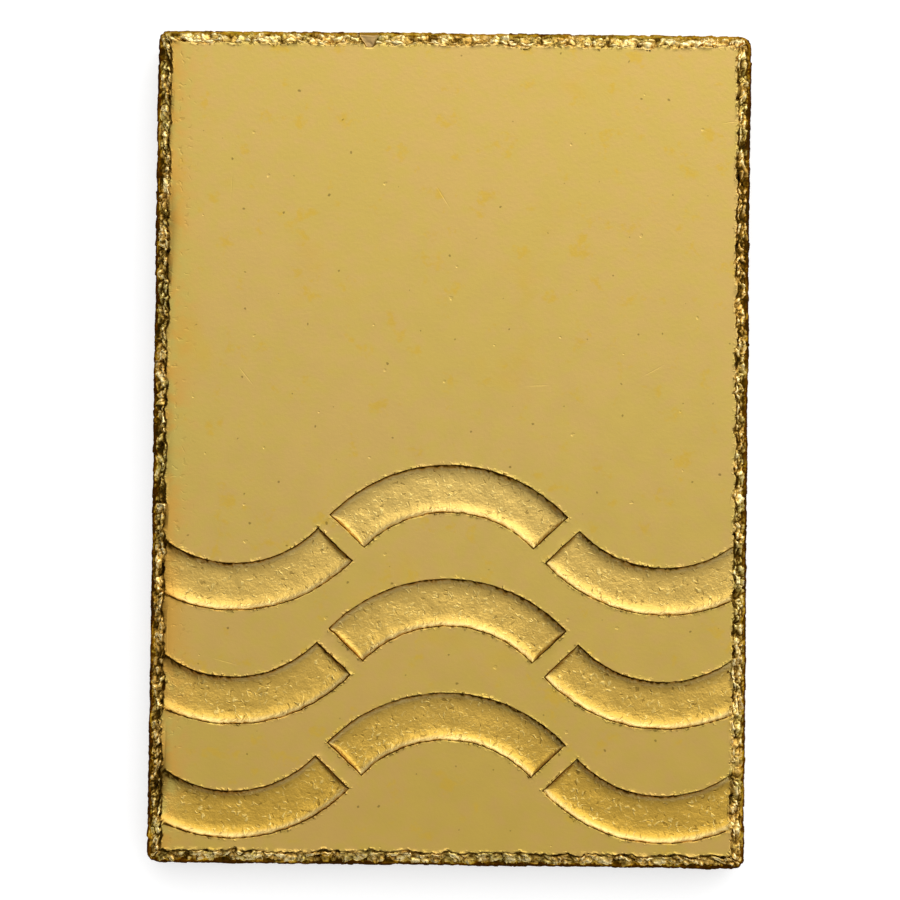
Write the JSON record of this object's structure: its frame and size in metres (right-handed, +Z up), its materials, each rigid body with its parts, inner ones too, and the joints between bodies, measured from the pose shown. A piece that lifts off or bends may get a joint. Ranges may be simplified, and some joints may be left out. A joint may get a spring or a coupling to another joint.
{
  "type": "gold ingot",
  "caption": "Small flat gold ingot with scored and torn edges and broken wave grooves pressed into one face; loose bullion stock that lies flat.",
  "frame": {"origin": "centre of the underside, on the surface that the ingot lies on", "axes": "+Z up out of the pressed face, +Y along the length towards the plain end, +X across the width"},
  "size_m": [0.0074, 0.0104, 0.0007],
  "materials": {
    "gold": "satin pressed face, frosted groove floors, bright crumbled edges where it was snapped off"
  },
  "bodies": {
    "root": {"ingot": "gold"}
  },
  "joints": []
}
